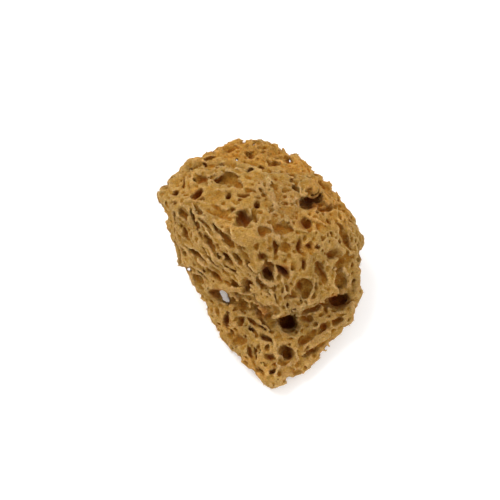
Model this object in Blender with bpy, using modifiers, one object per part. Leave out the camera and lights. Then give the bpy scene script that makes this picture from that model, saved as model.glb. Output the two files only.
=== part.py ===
"""A natural sea sponge, as grown: one light, springy lump with a flat cut underneath.

Metres, +Z up, the flat cut on z = 0 and the origin under the middle of the lump. The front is -Y.
The body is two rounded blocks that grew together, an upper one with a sloping nose and a lower
lobe under it, with a thin rim behind. Pits and slots of many sizes open all over it.
"""

import math
import random
from collections import namedtuple

import bmesh
import bpy
from mathutils import Matrix, Vector
from mathutils.bvhtree import BVHTree

MM = 0.001

# Size: the lump is 140 mm long as it is seen, from its rear rim to its chin
SEEN_LENGTH = 140
SEEN_LENGTH_PIXELS = 248
MM_PER_PIXEL = SEEN_LENGTH / SEEN_LENGTH_PIXELS

# The eye that places are seen from: how steeply it looks down, how far off it is, the pixel that
# it looks straight at, the pixel where the lump's upright axis crosses the seen plane, and at
# what height
EYE_ELEVATION = math.radians(60)
EYE_DISTANCE = 663
LOOKED_AT_PIXEL = (250, 250)
AXIS_PIXEL = (262, 263)
AXIS_HEIGHT = 35

RIGHT = Vector((1, 0, 0))
UP = Vector((0, math.sin(EYE_ELEVATION), math.cos(EYE_ELEVATION)))
TOWARDS_EYE = Vector((0, -math.cos(EYE_ELEVATION), math.sin(EYE_ELEVATION)))

# Forming the lump from its blocks
FORM_VOXEL = 2.4
FORM_SMOOTHING = 5
FORM_SWELL = 0.6
KNOBS_SIZE = 17
KNOBS_HEIGHT = 5
FORM_SHARE_KEPT = 0.25

# Opening the pits, then rounding their walls and setting how many triangles are kept
FORM_CENTRE = Vector((0, 2, 34))
PIT_LEAN = 0.6
PIT_WIDENING = 1.2
CARVED_VOXEL = 1.3
CARVED_SMOOTHING = 2
TRIANGLES = 9300
CUT_HEIGHT = 2.5

# A corner of a block: the pixel where it is seen, and its height over the surface
Corner = namedtuple("Corner", "x y height")
# A corner hidden under the lump, in millimetres from the upright axis
Foot = namedtuple("Foot", "across back height")

UPPER_BLOCK = [
    Corner(240, 238, 78),
    Corner(318, 233, 72),
    Corner(172, 207, 62),
    Corner(172, 186, 58),
    Corner(160, 183, 50),
    Corner(171, 172, 54),
    Corner(180, 173, 56),
    Corner(203, 166, 64),
    Corner(250, 167, 69),
    Corner(311, 175, 66),
    Corner(345, 214, 59),
    Corner(357, 245, 48),
    Corner(278, 319, 42),
    Corner(264, 303, 42),
    Corner(240, 294, 40),
    Corner(207, 291, 33),
    Corner(300, 314, 42),
    Corner(317, 306, 41),
    Corner(332, 296, 40),
    Corner(352, 286, 35),
    Corner(157, 198, 46),
    Corner(172, 246, 38),
    Corner(187, 279, 33),
    Corner(365, 238, 38),
    Corner(358, 262, 36),
    Foot(-10, -12, 0),
    Foot(-30, 24, 0),
    Foot(-36, 46, 0),
    Foot(34, 48, 0),
    Foot(44, 18, 0),
    Foot(38, -16, 0),
]
LOWER_LOBE = [
    Corner(196, 285, 31),
    Corner(208, 300, 27),
    Corner(206, 310, 20),
    Corner(211, 322, 16),
    Corner(227, 340, 14),
    Corner(247, 353, 12),
    Corner(258, 376, 13),
    Corner(273, 395, 13),
    Corner(289, 377, 12),
    Corner(308, 371, 12),
    Corner(327, 351, 12),
    Corner(341, 331, 16),
    Corner(358, 313, 20),
    Corner(365, 291, 28),
    Corner(360, 276, 31),
    Corner(277, 333, 25),
    Corner(276, 355, 23),
    Corner(230, 306, 18),
    Corner(254, 318, 21),
    Corner(306, 326, 23),
    Corner(333, 314, 22),
    Foot(-20, -27, 0),
    Foot(0, -47, 0),
    Foot(8, -59, 0),
    Foot(18, -51, 0),
    Foot(34, -31, 0),
    Foot(46, -6, 0),
    Foot(-12, 6, 0),
]
REAR_RIM = [
    Corner(180, 164, 52),
    Corner(203, 152, 54),
    Corner(236, 138, 54),
    Corner(268, 138, 54),
    Corner(294, 149, 55),
    Corner(318, 171, 54),
    Corner(347, 201, 48),
    Corner(364, 236, 40),
    Corner(250, 160, 63),
    Corner(300, 172, 62),
    Foot(-38, 44, 14),
    Foot(-10, 60, 20),
    Foot(22, 56, 20),
    Foot(44, 34, 14),
    Foot(-28, 42, 0),
    Foot(-6, 52, 0),
    Foot(20, 48, 0),
    Foot(40, 20, 0),
]
BLOCKS = {"upper_block": UPPER_BLOCK, "lower_lobe": LOWER_LOBE, "rear_rim": REAR_RIM}


# A pit seen from the eye: the pixels at the two ends of its middle line, its width in pixels and
# its depth in millimetres
Pit = namedtuple("Pit", "x0 y0 x1 y1 width depth")

TOP_PITS = [
    Pit(234, 182, 239, 186, 9, 3),
    Pit(199, 178, 203, 180, 9, 5),
    Pit(222, 180, 233, 176, 11, 6),
    Pit(175, 193, 175, 193, 8, 5),
    Pit(194, 195, 199, 191, 9, 6),
    Pit(229, 193, 229, 199, 7, 5),
    Pit(241, 194, 248, 194, 7, 5),
    Pit(257, 205, 256, 216, 7, 6),
    Pit(243, 216, 243, 220, 14, 9),
    Pit(217, 212, 226, 215, 9, 3),
    Pit(249, 153, 251, 156, 8, 5),
    Pit(273, 162, 278, 164, 7, 5),
    Pit(208, 160, 213, 158, 6, 4),
    Pit(228, 151, 233, 148, 7, 5),
    Pit(258, 144, 262, 145, 6, 4),
    Pit(287, 158, 290, 162, 7, 5),
    Pit(322, 184, 326, 188, 7, 5),
    Pit(336, 203, 341, 209, 7, 5),
    Pit(295, 186, 302, 205, 6, 5),
    Pit(305, 204, 319, 196, 13, 13),
    Pit(320, 208, 327, 208, 8, 6),
    Pit(306, 221, 306, 225, 9, 5),
    Pit(264, 231, 264, 231, 9, 4),
    Pit(279, 229, 287, 229, 12, 3),
]
LEFT_PITS = [
    Pit(181, 209, 187, 219, 7, 7),
    Pit(182, 224, 189, 238, 7, 7),
    Pit(192, 219, 201, 235, 6, 6),
    Pit(209, 224, 220, 234, 7, 7),
    Pit(222, 236, 233, 246, 10, 9),
    Pit(206, 235, 215, 250, 8, 8),
    Pit(224, 252, 231, 264, 7, 7),
    Pit(234, 255, 241, 262, 6, 6),
    Pit(189, 248, 205, 258, 7, 7),
    Pit(199, 264, 207, 275, 8, 8),
    Pit(197, 279, 200, 279, 8, 8),
    Pit(212, 271, 219, 279, 7, 6),
    Pit(247, 264, 253, 271, 6, 6),
    Pit(245, 279, 252, 289, 6, 6),
    Pit(231, 282, 237, 286, 7, 5),
    Pit(258, 281, 265, 291, 6, 6),
]
RIGHT_PITS = [
    Pit(273, 242, 273, 252, 6, 5),
    Pit(299, 241, 301, 253, 7, 6),
    Pit(310, 247, 310, 247, 8, 4),
    Pit(284, 246, 286, 248, 8, 3),
    Pit(262, 257, 262, 257, 8, 5),
    Pit(268, 271, 268, 275, 12, 9),
    Pit(280, 267, 288, 275, 7, 6),
    Pit(303, 261, 303, 270, 6, 4),
    Pit(305, 289, 306, 290, 18, 5),
    Pit(299, 286, 299, 286, 9, 8),
    Pit(316, 264, 326, 281, 8, 6),
    Pit(330, 255, 336, 254, 9, 7),
    Pit(335, 268, 348, 260, 10, 5),
    Pit(340, 228, 348, 245, 8, 6),
    Pit(341, 281, 341, 281, 15, 6),
    Pit(355, 280, 356, 284, 8, 5),
    Pit(339, 300, 341, 298, 20, 14),
    Pit(286, 289, 286, 296, 6, 3),
]
LOWER_PITS = [
    Pit(306, 355, 319, 348, 7, 6),
    Pit(336, 322, 339, 321, 8, 5),
    Pit(230, 331, 233, 335, 7, 5),
    Pit(258, 370, 262, 371, 7, 5),
    Pit(226, 318, 226, 326, 8, 7),
    Pit(241, 318, 241, 324, 7, 5),
    Pit(248, 319, 256, 325, 6, 4),
    Pit(261, 321, 269, 330, 7, 5),
    Pit(251, 331, 251, 331, 8, 6),
    Pit(263, 337, 271, 344, 7, 6),
    Pit(236, 338, 243, 338, 9, 6),
    Pit(251, 348, 254, 359, 6, 4),
    Pit(269, 356, 269, 356, 8, 5),
    Pit(287, 322, 288, 324, 18, 16),
    Pit(303, 321, 310, 319, 8, 6),
    Pit(287, 352, 288, 355, 15, 9),
    Pit(326, 309, 326, 314, 7, 4),
    Pit(323, 328, 323, 330, 9, 5),
    Pit(304, 340, 310, 332, 7, 5),
    Pit(271, 371, 274, 371, 7, 5),
]
SEEN_PITS = TOP_PITS + LEFT_PITS + RIGHT_PITS + LOWER_PITS

# Slots that run level into the lump and undercut the ledge above them
UNDERCUTS = [
    Pit(232, 297, 252, 300, 11, 10),
    Pit(252, 302, 268, 314, 12, 12),
    Pit(268, 318, 288, 318, 11, 13),
    Pit(290, 317, 308, 313, 11, 11),
    Pit(313, 310, 332, 300, 10, 10),
]
# Tunnels along the line of sight, that let the ground show through the lump's thin left side
TUNNELS = [
    Pit(216, 293, 225, 300, 9, 60),
]

# The pits that the eye doesn't see: how many are tried on the sides and underneath, how far apart
# they keep, their widths and how deep they are for their width
HIDDEN_PITS_TRIED = 2500
HIDDEN_GAP = 2.2
HIDDEN_WIDTHS = (4, 11)
HIDDEN_DEPTH = 0.62
HIDDEN_STRETCH = (1.0, 2.4)
UNDERSIDE_GAP = 5
SEEN_FACING = 0.22
SEED = 5

SPONGE_COLOUR = (0.42, 0.25, 0.09, 1.0)
SPONGE_ROUGHNESS = 0.9


def clear_scene():
    for old in list(bpy.data.objects):
        bpy.data.objects.remove(old)


def new_collection(name, hidden=False):
    collection = bpy.data.collections.new(name)
    collection.hide_render = hidden
    bpy.context.scene.collection.children.link(collection)
    return collection


def seen_plane_point(x, y):
    """The point of the slanted seen plane, through the axis, that shows at pixel x, y."""
    across = (x - AXIS_PIXEL[0]) * MM_PER_PIXEL
    up = (AXIS_PIXEL[1] - y) * MM_PER_PIXEL
    return Vector((0, 0, AXIS_HEIGHT)) + RIGHT * across + UP * up


EYE = seen_plane_point(*LOOKED_AT_PIXEL) + TOWARDS_EYE * EYE_DISTANCE


def corner_point(corner):
    """A corner in millimetres: where the eye's line through its pixel reaches its height."""
    if isinstance(corner, Foot):
        return Vector(corner)
    on_plane = seen_plane_point(corner.x, corner.y)
    share = (EYE.z - corner.height) / (EYE.z - on_plane.z)
    return EYE + (on_plane - EYE) * share


def settle(body):
    """Replaces a body's mesh by the shape that its modifiers give it."""
    graph = bpy.context.evaluated_depsgraph_get()
    shaped = bpy.data.meshes.new_from_object(body.evaluated_get(graph))
    body.modifiers.clear()
    body.data = shaped


def stretch_block(joined, corners):
    """Adds to a mesh a closed block stretched over its corners."""
    block = bmesh.new()
    for corner in corners:
        block.verts.new(corner_point(corner) * MM)
    hull = bmesh.ops.convex_hull(block, input=block.verts)
    inside = [v for v in hull["geom_interior"] if isinstance(v, bmesh.types.BMVert)]
    bmesh.ops.delete(block, geom=inside, context="VERTS")
    bmesh.ops.recalc_face_normals(block, faces=block.faces)
    mesh = bpy.data.meshes.new("block")
    block.to_mesh(mesh)
    block.free()
    joined.from_mesh(mesh)
    bpy.data.meshes.remove(mesh)


def form_lump(collection):
    """The lump before its pits: the blocks grown into one, rounded, swollen and knobbly."""
    joined = bmesh.new()
    for corners in BLOCKS.values():
        stretch_block(joined, corners)
    mesh = bpy.data.meshes.new("lump")
    joined.to_mesh(mesh)
    joined.free()
    lump = bpy.data.objects.new("sea_sponge", mesh)
    collection.objects.link(lump)

    grown = lump.modifiers.new("grown_together", "REMESH")
    grown.mode = "VOXEL"
    grown.voxel_size = FORM_VOXEL * MM
    rounded = lump.modifiers.new("rounded", "SMOOTH")
    rounded.iterations = FORM_SMOOTHING
    swollen = lump.modifiers.new("swollen", "DISPLACE")
    swollen.strength = FORM_SWELL * MM
    swollen.mid_level = 0
    pattern = bpy.data.textures.new("knobs", "CLOUDS")
    pattern.noise_scale = KNOBS_SIZE * MM
    knobs = lump.modifiers.new("knobs", "DISPLACE")
    knobs.texture = pattern
    knobs.texture_coords = "LOCAL"
    knobs.strength = KNOBS_HEIGHT * MM
    thinned = lump.modifiers.new("thinned", "DECIMATE")
    thinned.ratio = FORM_SHARE_KEPT
    settle(lump)
    return lump


def add_cutter(collection, centre, along, inward, half_sizes):
    """An egg-shaped cutter: half its length along, half its width across and its depth inward."""
    inward = inward.normalized()
    along = (along - inward * along.dot(inward)).normalized()
    across = inward.cross(along)
    turn = Matrix((along, across, inward)).transposed().to_4x4()
    stretch = Matrix.Diagonal((*half_sizes, 1))
    shape = bmesh.new()
    bmesh.ops.create_icosphere(shape, subdivisions=2, radius=1)
    bmesh.ops.transform(shape, matrix=turn @ stretch, verts=shape.verts)
    bmesh.ops.translate(shape, vec=centre, verts=shape.verts)
    bmesh.ops.scale(shape, vec=(MM, MM, MM), verts=shape.verts)
    mesh = bpy.data.meshes.new("pit_cutter")
    shape.to_mesh(mesh)
    shape.free()
    cutter = bpy.data.objects.new("pit_cutter", mesh)
    cutter.display_type = "WIRE"
    cutter.hide_render = True
    collection.objects.link(cutter)


def seen_on(surface, x, y):
    """Where the eye's line through a pixel meets the lump, in millimetres, and its facing."""
    line = (seen_plane_point(x, y) - EYE).normalized()
    place, facing, _, _ = surface.ray_cast(EYE * MM, line)
    if place is None:
        return None
    return place / MM, facing


def add_seen_pit(collection, surface, pit, heading=None):
    """A cutter for a pit as it is seen, sunk along its heading or else between facing and eye."""
    first = seen_on(surface, pit.x0, pit.y0)
    last = seen_on(surface, pit.x1, pit.y1)
    if first is None or last is None:
        raise ValueError(f"no surface is seen at {pit}")
    centre = (first[0] + last[0]) / 2
    along = last[0] - first[0]
    half_width = pit.width * PIT_WIDENING * MM_PER_PIXEL / 2
    half_length = along.length / 2 + half_width
    if along.length < 0.01:
        along = RIGHT
    if heading is None:
        heading = -(first[1] + last[1] + TOWARDS_EYE * 2 * PIT_LEAN)
    add_cutter(collection, centre, along, heading, (half_length, half_width, pit.depth))


def add_hidden_pits(collection, surface):
    """Cutters for the pits on the sides and underneath, as many as find room."""
    dice = random.Random(SEED)
    placed = []
    for _ in range(HIDDEN_PITS_TRIED):
        out = Vector((dice.gauss(0, 1), dice.gauss(0, 1), dice.gauss(0, 1))).normalized()
        small, large = HIDDEN_WIDTHS
        width = small + (large - small) * dice.random() ** 2
        stretch = dice.uniform(*HIDDEN_STRETCH)
        along = Vector((dice.gauss(0, 1), dice.gauss(0, 1), dice.gauss(0, 2)))
        place, facing, _, _ = surface.ray_cast(FORM_CENTRE * MM, out)
        place = place / MM
        sight = (EYE - place).normalized()
        if facing.dot(sight) > SEEN_FACING:
            hidden = surface.ray_cast((place + facing * 0.5) * MM, sight)[0] is not None
            if not hidden:
                continue
        gap = UNDERSIDE_GAP if facing.z < -0.8 else HIDDEN_GAP
        reach = width * stretch / 2
        if any((place - other).length < reach + size + gap for other, size in placed):
            continue
        placed.append((place, reach))
        depth = width * HIDDEN_DEPTH
        add_cutter(collection, place, along, -facing, (reach, width / 2, depth))


def cut_pits(lump, collection):
    surface = BVHTree.FromObject(lump, bpy.context.evaluated_depsgraph_get())
    for pit in SEEN_PITS:
        add_seen_pit(collection, surface, pit)
    for pit in UNDERCUTS:
        add_seen_pit(collection, surface, pit, heading=Vector((0, 1, 0.25)))
    for pit in TUNNELS:
        add_seen_pit(collection, surface, pit, heading=-TOWARDS_EYE)
    add_hidden_pits(collection, surface)

    opened = lump.modifiers.new("pits", "BOOLEAN")
    opened.operation = "DIFFERENCE"
    opened.solver = "EXACT"
    opened.operand_type = "COLLECTION"
    opened.collection = collection
    settle(lump)
    worn = lump.modifiers.new("worn", "REMESH")
    worn.mode = "VOXEL"
    worn.voxel_size = CARVED_VOXEL * MM
    softened = lump.modifiers.new("softened", "SMOOTH")
    softened.iterations = CARVED_SMOOTHING
    settle(lump)


def keep_largest_piece(lump):
    """Drops the crumbs that the pits cut loose, and the voids that they leave inside."""
    shape = bmesh.new()
    shape.from_mesh(lump.data)
    unseen = set(shape.verts)
    pieces = []
    while unseen:
        waiting = [unseen.pop()]
        piece = []
        while waiting:
            corner = waiting.pop()
            piece.append(corner)
            for edge in corner.link_edges:
                other = edge.other_vert(corner)
                if other in unseen:
                    unseen.remove(other)
                    waiting.append(other)
        pieces.append(piece)
    pieces.sort(key=len)
    for piece in pieces[:-1]:
        bmesh.ops.delete(shape, geom=piece, context="VERTS")
    shape.to_mesh(lump.data)
    shape.free()


def cut_flat(lump, collection):
    """Cuts the lump off flat a little above its lowest point, and lowers it onto z = 0."""
    ground = bmesh.new()
    bmesh.ops.create_cube(ground, size=0.4)
    bmesh.ops.translate(ground, vec=(0, 0, CUT_HEIGHT * MM - 0.2), verts=ground.verts)
    mesh = bpy.data.meshes.new("ground_cutter")
    ground.to_mesh(mesh)
    ground.free()
    cutter = bpy.data.objects.new("ground_cutter", mesh)
    cutter.display_type = "WIRE"
    cutter.hide_render = True
    collection.objects.link(cutter)
    flat = lump.modifiers.new("flat_cut", "BOOLEAN")
    flat.operation = "DIFFERENCE"
    flat.solver = "EXACT"
    flat.object = cutter
    settle(lump)


def centre_over_origin(lump):
    across = [corner.co.x for corner in lump.data.vertices]
    back = [corner.co.y for corner in lump.data.vertices]
    lowest = min(corner.co.z for corner in lump.data.vertices)
    middle = Vector(((min(across) + max(across)) / 2, (min(back) + max(back)) / 2, lowest))
    lump.data.transform(Matrix.Translation(-middle))
    return middle


def thin_out(lump):
    lump.data.calc_loop_triangles()
    thinned = lump.modifiers.new("thinned", "DECIMATE")
    thinned.ratio = TRIANGLES / len(lump.data.loop_triangles)
    settle(lump)


def give_material(lump):
    material = bpy.data.materials.new("sponge")
    material.use_nodes = True
    surface = material.node_tree.nodes["Principled BSDF"]
    surface.inputs["Base Color"].default_value = SPONGE_COLOUR
    surface.inputs["Roughness"].default_value = SPONGE_ROUGHNESS
    lump.data.materials.clear()
    lump.data.materials.append(material)


clear_scene()
parts = new_collection("sea_sponge")
cutters = new_collection("cutters", hidden=True)
sponge = form_lump(parts)
cut_pits(sponge, cutters)
keep_largest_piece(sponge)
thin_out(sponge)
cut_flat(sponge, cutters)
# What became the origin, in metres: the eye stands at EYE - MIDDLE / MM from it, in millimetres
MIDDLE = centre_over_origin(sponge)
give_material(sponge)
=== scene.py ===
"""The looks of a natural sea sponge: a golden-brown lump, pitted and grooved all over, on a pale floor.

Metres in the scene. The carving is worked out in millimetres, on a grid of small cells that says
how far each cell lies outside (above 0) or inside (under 0) the sponge.
"""

import math
from collections import namedtuple

import bpy
import numpy as np
import openvdb
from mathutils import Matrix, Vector
from mathutils.bvhtree import BVHTree


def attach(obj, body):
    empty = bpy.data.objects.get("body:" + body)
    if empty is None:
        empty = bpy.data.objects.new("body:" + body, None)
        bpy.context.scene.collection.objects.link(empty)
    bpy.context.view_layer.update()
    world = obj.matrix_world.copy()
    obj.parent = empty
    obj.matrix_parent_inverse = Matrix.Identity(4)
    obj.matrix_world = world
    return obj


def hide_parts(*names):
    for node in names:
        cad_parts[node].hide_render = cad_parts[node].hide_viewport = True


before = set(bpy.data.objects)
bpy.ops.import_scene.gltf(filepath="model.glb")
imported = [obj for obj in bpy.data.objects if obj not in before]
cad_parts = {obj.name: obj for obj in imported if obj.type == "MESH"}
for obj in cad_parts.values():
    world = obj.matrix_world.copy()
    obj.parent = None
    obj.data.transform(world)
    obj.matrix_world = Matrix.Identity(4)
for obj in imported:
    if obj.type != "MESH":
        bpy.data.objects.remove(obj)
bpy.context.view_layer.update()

MM = 0.001

# The eye, as in the photograph: its place in millimetres, how steeply it looks down, the size of a
# pixel where it looks, the pixel it looks at, the picture's width in pixels, how far off it is from
# what it looks at and how wide the camera's sensor is
EYE = Vector((-6.2, -328.3, 610.3))
EYE_ELEVATION = math.radians(60)
MM_PER_PIXEL = 140 / 248
LOOKED_AT_PIXEL = (250, 250)
FRAME_PIXELS = 500
EYE_DISTANCE = 663
SENSOR_WIDTH = 36

RIGHT = Vector((1, 0, 0))
UP = Vector((0, math.sin(EYE_ELEVATION), math.cos(EYE_ELEVATION)))
TOWARDS_EYE = Vector((0, -math.cos(EYE_ELEVATION), math.sin(EYE_ELEVATION)))
SEEN_MIDDLE = EYE - TOWARDS_EYE * EYE_DISTANCE

# The grid that the sponge is carved on, in millimetres: its cell, how many cells deep the distances
# are known, the room left round the sponge, how soft a pit's edge is, how far a ridge melts in, how
# wide a pit is filled on the seen side, and how many triangles are left at the end
CELL = 0.62
BAND_CELLS = 12
MARGIN = 4
LIP = 0.5
RIDGE_MELT = 1.0
FILL_REACH = 3.5
TRIANGLES = 190000

# Noise on the surface before and after the pits are cut, and the warp that bends the pits, each as
# a wavelength and a height in millimetres
BROAD_NOISE = [(10, 0.8), (5, 0.5)]
FINE_NOISE = [(3.2, 0.18), (1.9, 0.17)]
WARP_NOISE = [(6.0, 1), (2.8, 0.5)]

SEED = 11

# Pits that are seen, wide ones and slots, each from x0, y0 to x1, y1 with its width in pixels and
# its depth in millimetres
SeenPit = namedtuple("SeenPit", "x0 y0 x1 y1 width depth")
BOWLS = [
    SeenPit(199, 178, 203, 180, 9, 3.5),
    SeenPit(223, 180, 234, 176, 11, 3),
    SeenPit(234, 182, 239, 186, 10, 2.5),
    SeenPit(175, 193, 175, 193, 7, 4),
    SeenPit(194, 196, 199, 191, 8, 5),
    SeenPit(242, 217, 245, 221, 12, 5),
    SeenPit(217, 212, 225, 214, 9, 2),
    SeenPit(249, 153, 251, 156, 8, 5),
    SeenPit(273, 162, 278, 164, 7, 5),
    SeenPit(208, 160, 213, 158, 5, 3),
    SeenPit(228, 151, 233, 149, 7, 2.5),
    SeenPit(287, 158, 290, 162, 7, 5),
    SeenPit(322, 184, 326, 188, 5, 3),
    SeenPit(336, 203, 341, 209, 5, 3),
    SeenPit(295, 186, 302, 205, 4, 4),
    SeenPit(306, 203, 318, 196, 13, 12),
    SeenPit(320, 208, 327, 208, 8, 6),
    SeenPit(306, 222, 307, 225, 9, 5),
    SeenPit(264, 231, 264, 231, 9, 3.5),
    SeenPit(279, 229, 286, 229, 11, 2),
    SeenPit(223, 236, 232, 246, 8, 5),
    SeenPit(205, 236, 214, 249, 7, 5),
    SeenPit(262, 257, 262, 257, 8, 4),
    SeenPit(267, 271, 269, 275, 11, 6),
    SeenPit(284, 246, 286, 248, 9, 2),
    SeenPit(310, 247, 310, 247, 9, 3),
    SeenPit(306, 283, 305, 294, 14, 3),
    SeenPit(300, 286, 300, 287, 7, 4),
    SeenPit(317, 265, 325, 280, 8, 5),
    SeenPit(330, 255, 336, 254, 9, 6),
    SeenPit(337, 266, 348, 259, 11, 3),
    SeenPit(339, 227, 344, 234, 9, 4),
    SeenPit(344, 235, 350, 246, 8, 4.5),
    SeenPit(341, 280, 341, 282, 14, 3),
    SeenPit(355, 280, 356, 284, 8, 2),
    SeenPit(338, 300, 340, 299, 18, 3),
    SeenPit(286, 288, 286, 295, 7, 2.5),
    SeenPit(287, 322, 289, 324, 18, 4),
    SeenPit(214, 291, 219, 295, 8, 2),
    SeenPit(303, 321, 310, 319, 7, 5),
    SeenPit(287, 352, 287, 354, 15, 5),
    SeenPit(226, 318, 226, 326, 7, 6),
    SeenPit(241, 319, 241, 324, 6, 4),
    SeenPit(236, 340, 242, 341, 9, 3),
    SeenPit(323, 327, 323, 330, 9, 4),
    SeenPit(305, 355, 319, 347, 7, 5),
    SeenPit(304, 342, 311, 336, 7, 4),
    SeenPit(335, 323, 341, 320, 6, 4),
    SeenPit(255, 296, 264, 305, 8, 2),
]
SLOTS = [
    SeenPit(204, 165, 206, 166, 4, 3),
    SeenPit(195, 178, 196, 179, 5, 6),
    SeenPit(205, 178, 208, 183, 6, 2),
    SeenPit(184, 178, 184, 188, 3, 2),
    SeenPit(188, 178, 189, 189, 3, 2),
    SeenPit(175, 193, 176, 193, 4, 5),
    SeenPit(172, 203, 176, 202, 3, 3),
    SeenPit(218, 181, 223, 179, 6, 6),
    SeenPit(246, 176, 250, 178, 4, 2),
    SeenPit(228, 195, 228, 198, 6, 5),
    SeenPit(239, 195, 247, 195, 5, 4),
    SeenPit(232, 209, 233, 210, 4, 3),
    SeenPit(239, 200, 241, 200, 3, 2),
    SeenPit(253, 190, 256, 192, 3, 2),
    SeenPit(260, 189, 262, 191, 3, 2),
    SeenPit(257, 197, 260, 198, 3, 2),
    SeenPit(211, 212, 215, 214, 4, 2),
    SeenPit(257, 205, 258, 206, 7, 6),
    SeenPit(255, 212, 255, 220, 6, 6),
    SeenPit(261, 167, 262, 168, 4, 3),
    SeenPit(268, 160, 270, 163, 4, 3),
    SeenPit(265, 183, 265, 185, 3, 3),
    SeenPit(271, 182, 276, 189, 4, 1.5),
    SeenPit(273, 218, 276, 233, 5, 1.2),
    SeenPit(300, 182, 300, 182, 3, 2),
    SeenPit(292, 179, 293, 180, 4, 3),
    SeenPit(295, 176, 295, 177, 3, 3),
    SeenPit(294, 187, 295, 189, 4, 4),
    SeenPit(288, 190, 290, 190, 3, 2),
    SeenPit(309, 215, 309, 216, 3, 3),
    SeenPit(296, 217, 296, 218, 3, 2),
    SeenPit(288, 221, 288, 222, 3, 2),
    SeenPit(301, 201, 304, 207, 6, 6),
    SeenPit(318, 211, 320, 209, 5, 4),
    SeenPit(304, 223, 308, 224, 5, 6),
    SeenPit(262, 230, 263, 234, 5, 4),
    SeenPit(181, 224, 181, 228, 3, 3),
    SeenPit(183, 227, 188, 239, 4, 4),
    SeenPit(181, 209, 186, 219, 7, 5),
    SeenPit(189, 207, 201, 236, 4, 4.5),
    SeenPit(193, 208, 202, 213, 5, 3.5),
    SeenPit(198, 219, 210, 228, 3.5, 3),
    SeenPit(207, 221, 222, 235, 4.5, 4),
    SeenPit(218, 231, 226, 239, 5, 4),
    SeenPit(218, 254, 219, 261, 3.5, 4),
    SeenPit(203, 248, 217, 267, 3.5, 4),
    SeenPit(187, 246, 205, 260, 5.5, 4.5),
    SeenPit(183, 253, 185, 254, 5, 4),
    SeenPit(222, 254, 230, 263, 6.5, 5),
    SeenPit(233, 255, 240, 263, 6, 5),
    SeenPit(237, 248, 242, 253, 4, 3),
    SeenPit(243, 252, 248, 256, 3, 3),
    SeenPit(247, 263, 253, 272, 5, 4),
    SeenPit(199, 269, 206, 275, 6, 5),
    SeenPit(193, 276, 200, 282, 7, 3),
    SeenPit(212, 272, 220, 280, 5, 4),
    SeenPit(224, 267, 235, 273, 4, 3),
    SeenPit(226, 274, 228, 275, 3, 2),
    SeenPit(225, 281, 229, 285, 4.5, 3),
    SeenPit(232, 281, 237, 285, 4.5, 3),
    SeenPit(244, 281, 253, 289, 5, 4),
    SeenPit(257, 282, 265, 292, 5, 4),
    SeenPit(269, 293, 271, 295, 3, 3),
    SeenPit(275, 295, 275, 300, 3, 2.5),
    SeenPit(273, 286, 274, 289, 4, 3),
    SeenPit(274, 243, 275, 252, 5, 5),
    SeenPit(279, 244, 281, 249, 3, 3),
    SeenPit(285, 243, 286, 247, 3, 3),
    SeenPit(265, 271, 270, 276, 8, 8),
    SeenPit(278, 266, 288, 275, 6.5, 8),
    SeenPit(299, 242, 299, 252, 5.5, 5),
    SeenPit(301, 253, 304, 254, 4, 3),
    SeenPit(308, 246, 312, 249, 5, 4),
    SeenPit(318, 245, 319, 248, 3.5, 4),
    SeenPit(303, 261, 304, 269, 4, 4),
    SeenPit(300, 284, 301, 290, 6, 4.5),
    SeenPit(315, 283, 315, 288, 4, 3),
    SeenPit(288, 304, 288, 306, 4, 4),
    SeenPit(301, 302, 301, 303, 3, 3),
    SeenPit(358, 245, 359, 247, 4, 3),
    SeenPit(333, 303, 336, 304, 8, 3),
    SeenPit(285, 322, 291, 325, 9, 4),
    SeenPit(303, 320, 310, 321, 5, 5),
    SeenPit(326, 307, 326, 312, 5, 4),
    SeenPit(247, 318, 255, 324, 5, 4),
    SeenPit(261, 321, 268, 329, 6, 5),
    SeenPit(250, 329, 252, 331, 6, 5),
    SeenPit(264, 337, 271, 343, 6, 6),
    SeenPit(228, 313, 229, 314, 4, 5),
    SeenPit(231, 331, 233, 335, 5, 3),
    SeenPit(249, 347, 252, 357, 5, 4),
    SeenPit(255, 347, 257, 358, 4, 4),
    SeenPit(260, 348, 261, 356, 3, 3),
    SeenPit(268, 356, 272, 358, 7, 5),
    SeenPit(273, 364, 275, 366, 3.5, 3),
    SeenPit(271, 371, 274, 371, 6, 4),
    SeenPit(258, 369, 262, 372, 6, 3),
    SeenPit(288, 353, 290, 357, 7, 5),
    SeenPit(301, 338, 301, 344, 4, 3),
    SeenPit(334, 322, 340, 319, 4, 4),
    SeenPit(312, 334, 316, 331, 5, 3),
]
# The shadowed band under the upper block's lower edge, as pits that run along it
LEDGE = [
    SeenPit(228, 300, 243, 301, 12, 2.5),
    SeenPit(243, 303, 256, 307, 12, 3.5),
    SeenPit(256, 309, 268, 318, 12, 5),
    SeenPit(269, 315, 277, 320, 6, 4),
    SeenPit(294, 317, 306, 315, 7, 5),
    SeenPit(308, 311, 322, 305, 8, 7),
]
# The hole through which the floor is seen, as a line of pixels and its width, and how far it
# reaches each way in millimetres
SEE_THROUGH = (223, 293, 228, 301, 7.5)
SEE_THROUGH_LENGTH = 80

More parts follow.
